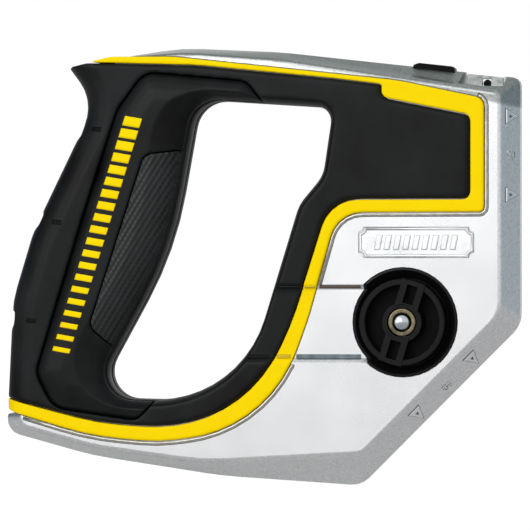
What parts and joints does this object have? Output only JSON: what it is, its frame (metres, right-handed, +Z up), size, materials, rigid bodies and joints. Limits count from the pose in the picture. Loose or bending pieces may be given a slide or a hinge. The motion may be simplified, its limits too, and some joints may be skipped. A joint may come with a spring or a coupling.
{
  "type": "interchangeable-blade handsaw handle",
  "caption": "D-shaped handsaw handle in two cast halves with a yellow and black overmould, a twist knob that clamps the blade and a release button on the top edge.",
  "frame": {"origin": "under the middle of the handle on the blade plane, level with the casting's lowest point", "axes": "+X towards the blade, +Z up in the sawing hand, Y across the thickness with the knob on -Y"},
  "size_m": [0.1853, 0.0332, 0.1556],
  "materials": {
    "cast_aluminium": "polished faces, as-cast edges",
    "yellow_overmould": "smooth yellow elastomer",
    "black_overmould": "soft matt black elastomer",
    "black_plastic": "fine matt moulded nylon",
    "bright_steel": "bright zinc plate",
    "spring_steel": "plain steel",
    "brass": "turned brass",
    "satin_plate": "satin nameplate, blank"
  },
  "bodies": {
    "handle": {"near_casting": "cast_aluminium", "far_casting": "cast_aluminium", "near_trim_band": "yellow_overmould", "far_trim_band": "yellow_overmould", "near_grip_cover": "black_overmould", "far_grip_cover": "black_overmould", "near_palm_insert": "black_overmould", "far_palm_insert": "black_overmould", "near_grip_pad": "black_overmould", "far_grip_pad": "black_overmould", "label_plate": "satin_plate", "knob_dish": "black_plastic", "clamp_stud": "bright_steel", "stud_nut": "bright_steel", "pawl_pin": "bright_steel", "pawl_spring": "spring_steel", "button_spring": "spring_steel", "blade_catch": "bright_steel", "upper_rear_screw": "bright_steel", "lower_rear_screw": "bright_steel", "panel_upper_screw": "bright_steel", "panel_lower_screw": "bright_steel", "heel_screw": "bright_steel", "front_screw": "bright_steel", "lower_locating_dowel": "bright_steel", "upper_locating_dowel": "bright_steel"},
    "clamp_slide": {"pressure_plate": "spring_steel", "thrust_washer": "spring_steel"},
    "clamp_knob": {"clamp_knob": "black_plastic", "knob_bushing": "brass"},
    "release_button": {"release_button": "black_plastic"},
    "latch_pawl": {"latch_pawl": "spring_steel"}
  },
  "joints": [
    {"name": "clamp_feed", "type": "slide", "parent": "handle", "child": "clamp_slide", "axis": [0, -1, 0], "range_m": [0, 0.0008]},
    {"name": "knob_turn", "type": "hinge", "parent": "clamp_slide", "child": "clamp_knob", "pos_m": [0.0524, 0, 0.0582], "axis": [0, -1, 0], "range_deg": [0, 270]},
    {"name": "button_press", "type": "slide", "parent": "handle", "child": "release_button", "axis": [0, 0, -1], "range_m": [0, 0.0025], "stiffness_N_per_m": 400, "springref_m": -0.002, "deforming": ["button_spring"]},
    {"name": "pawl_swing", "type": "hinge", "parent": "handle", "child": "latch_pawl", "pos_m": [0.077, 0, 0.128], "axis": [0, -1, 0], "range_deg": [0, 15.6]}
  ],
  "couplings": [
    {"joint": "clamp_feed", "follows": "knob_turn", "m_per_rad": 0.00015915},
    {"joint": "pawl_swing", "follows": "button_press", "rad_per_m": 108}
  ]
}
